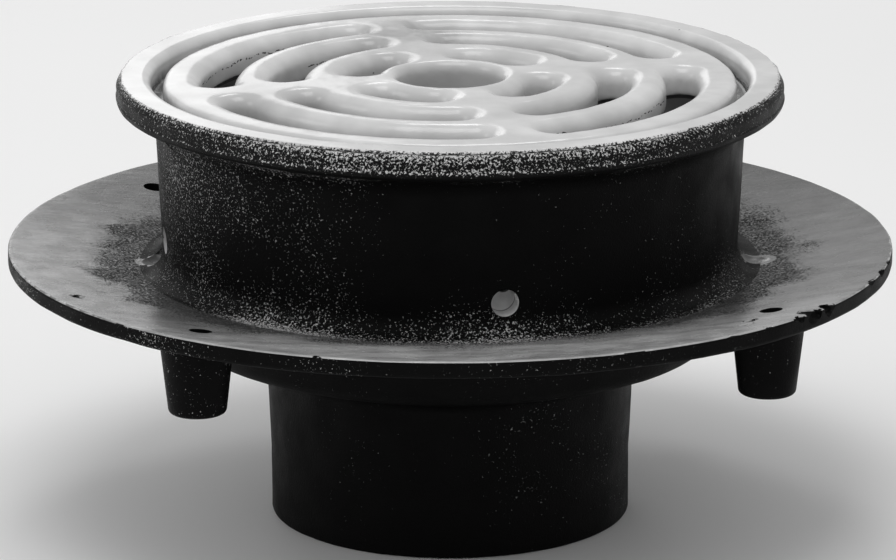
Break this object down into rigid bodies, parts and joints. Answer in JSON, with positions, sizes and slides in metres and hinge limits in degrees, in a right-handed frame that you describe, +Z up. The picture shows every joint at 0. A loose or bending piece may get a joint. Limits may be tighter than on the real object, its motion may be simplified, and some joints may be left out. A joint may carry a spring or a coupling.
{
  "type": "floor drain with grate",
  "caption": "Round enamelled cast-iron floor drain: a sump bowl with an anchor flange, weep holes and a spigot outlet, a loose slotted grate flush in the rim and a loose dome strainer below it.",
  "frame": {"origin": "centre of the outlet's end face, on the drain's axis", "axes": "+Z up along the drain's axis, from the outlet to the grate; the four bolt holes lie at 45 degrees to X and Y"},
  "size_m": [0.272, 0.272, 0.1382],
  "materials": {
    "body_coating": "black coating over sand-cast iron, semi-gloss, with a bright grain on the lip and the fillets",
    "enamel": "glossy white acid-resistant porcelain enamel",
    "grate_ground_coat": "dark fired ground coat on the grate's underside",
    "grate_enamel": "glossy white porcelain enamel, pooled smooth in the grooves",
    "strainer_aluminium": "as-cast aluminium, satin"
  },
  "bodies": {
    "drain_body": {"body_casting": "body_coating", "bowl_enamel": "enamel"},
    "grate": {"grate_casting": "grate_ground_coat", "grate_enamel": "grate_enamel"},
    "strainer": {"dome_strainer": "strainer_aluminium"}
  },
  "joints": [
    {"name": "grate_lift", "type": "slide", "parent": "drain_body", "child": "grate", "axis": [0, 0, 1], "range_m": [0, 0.2]},
    {"name": "strainer_lift", "type": "slide", "parent": "drain_body", "child": "strainer", "axis": [0, 0, 1], "range_m": [0, 0.04]}
  ]
}
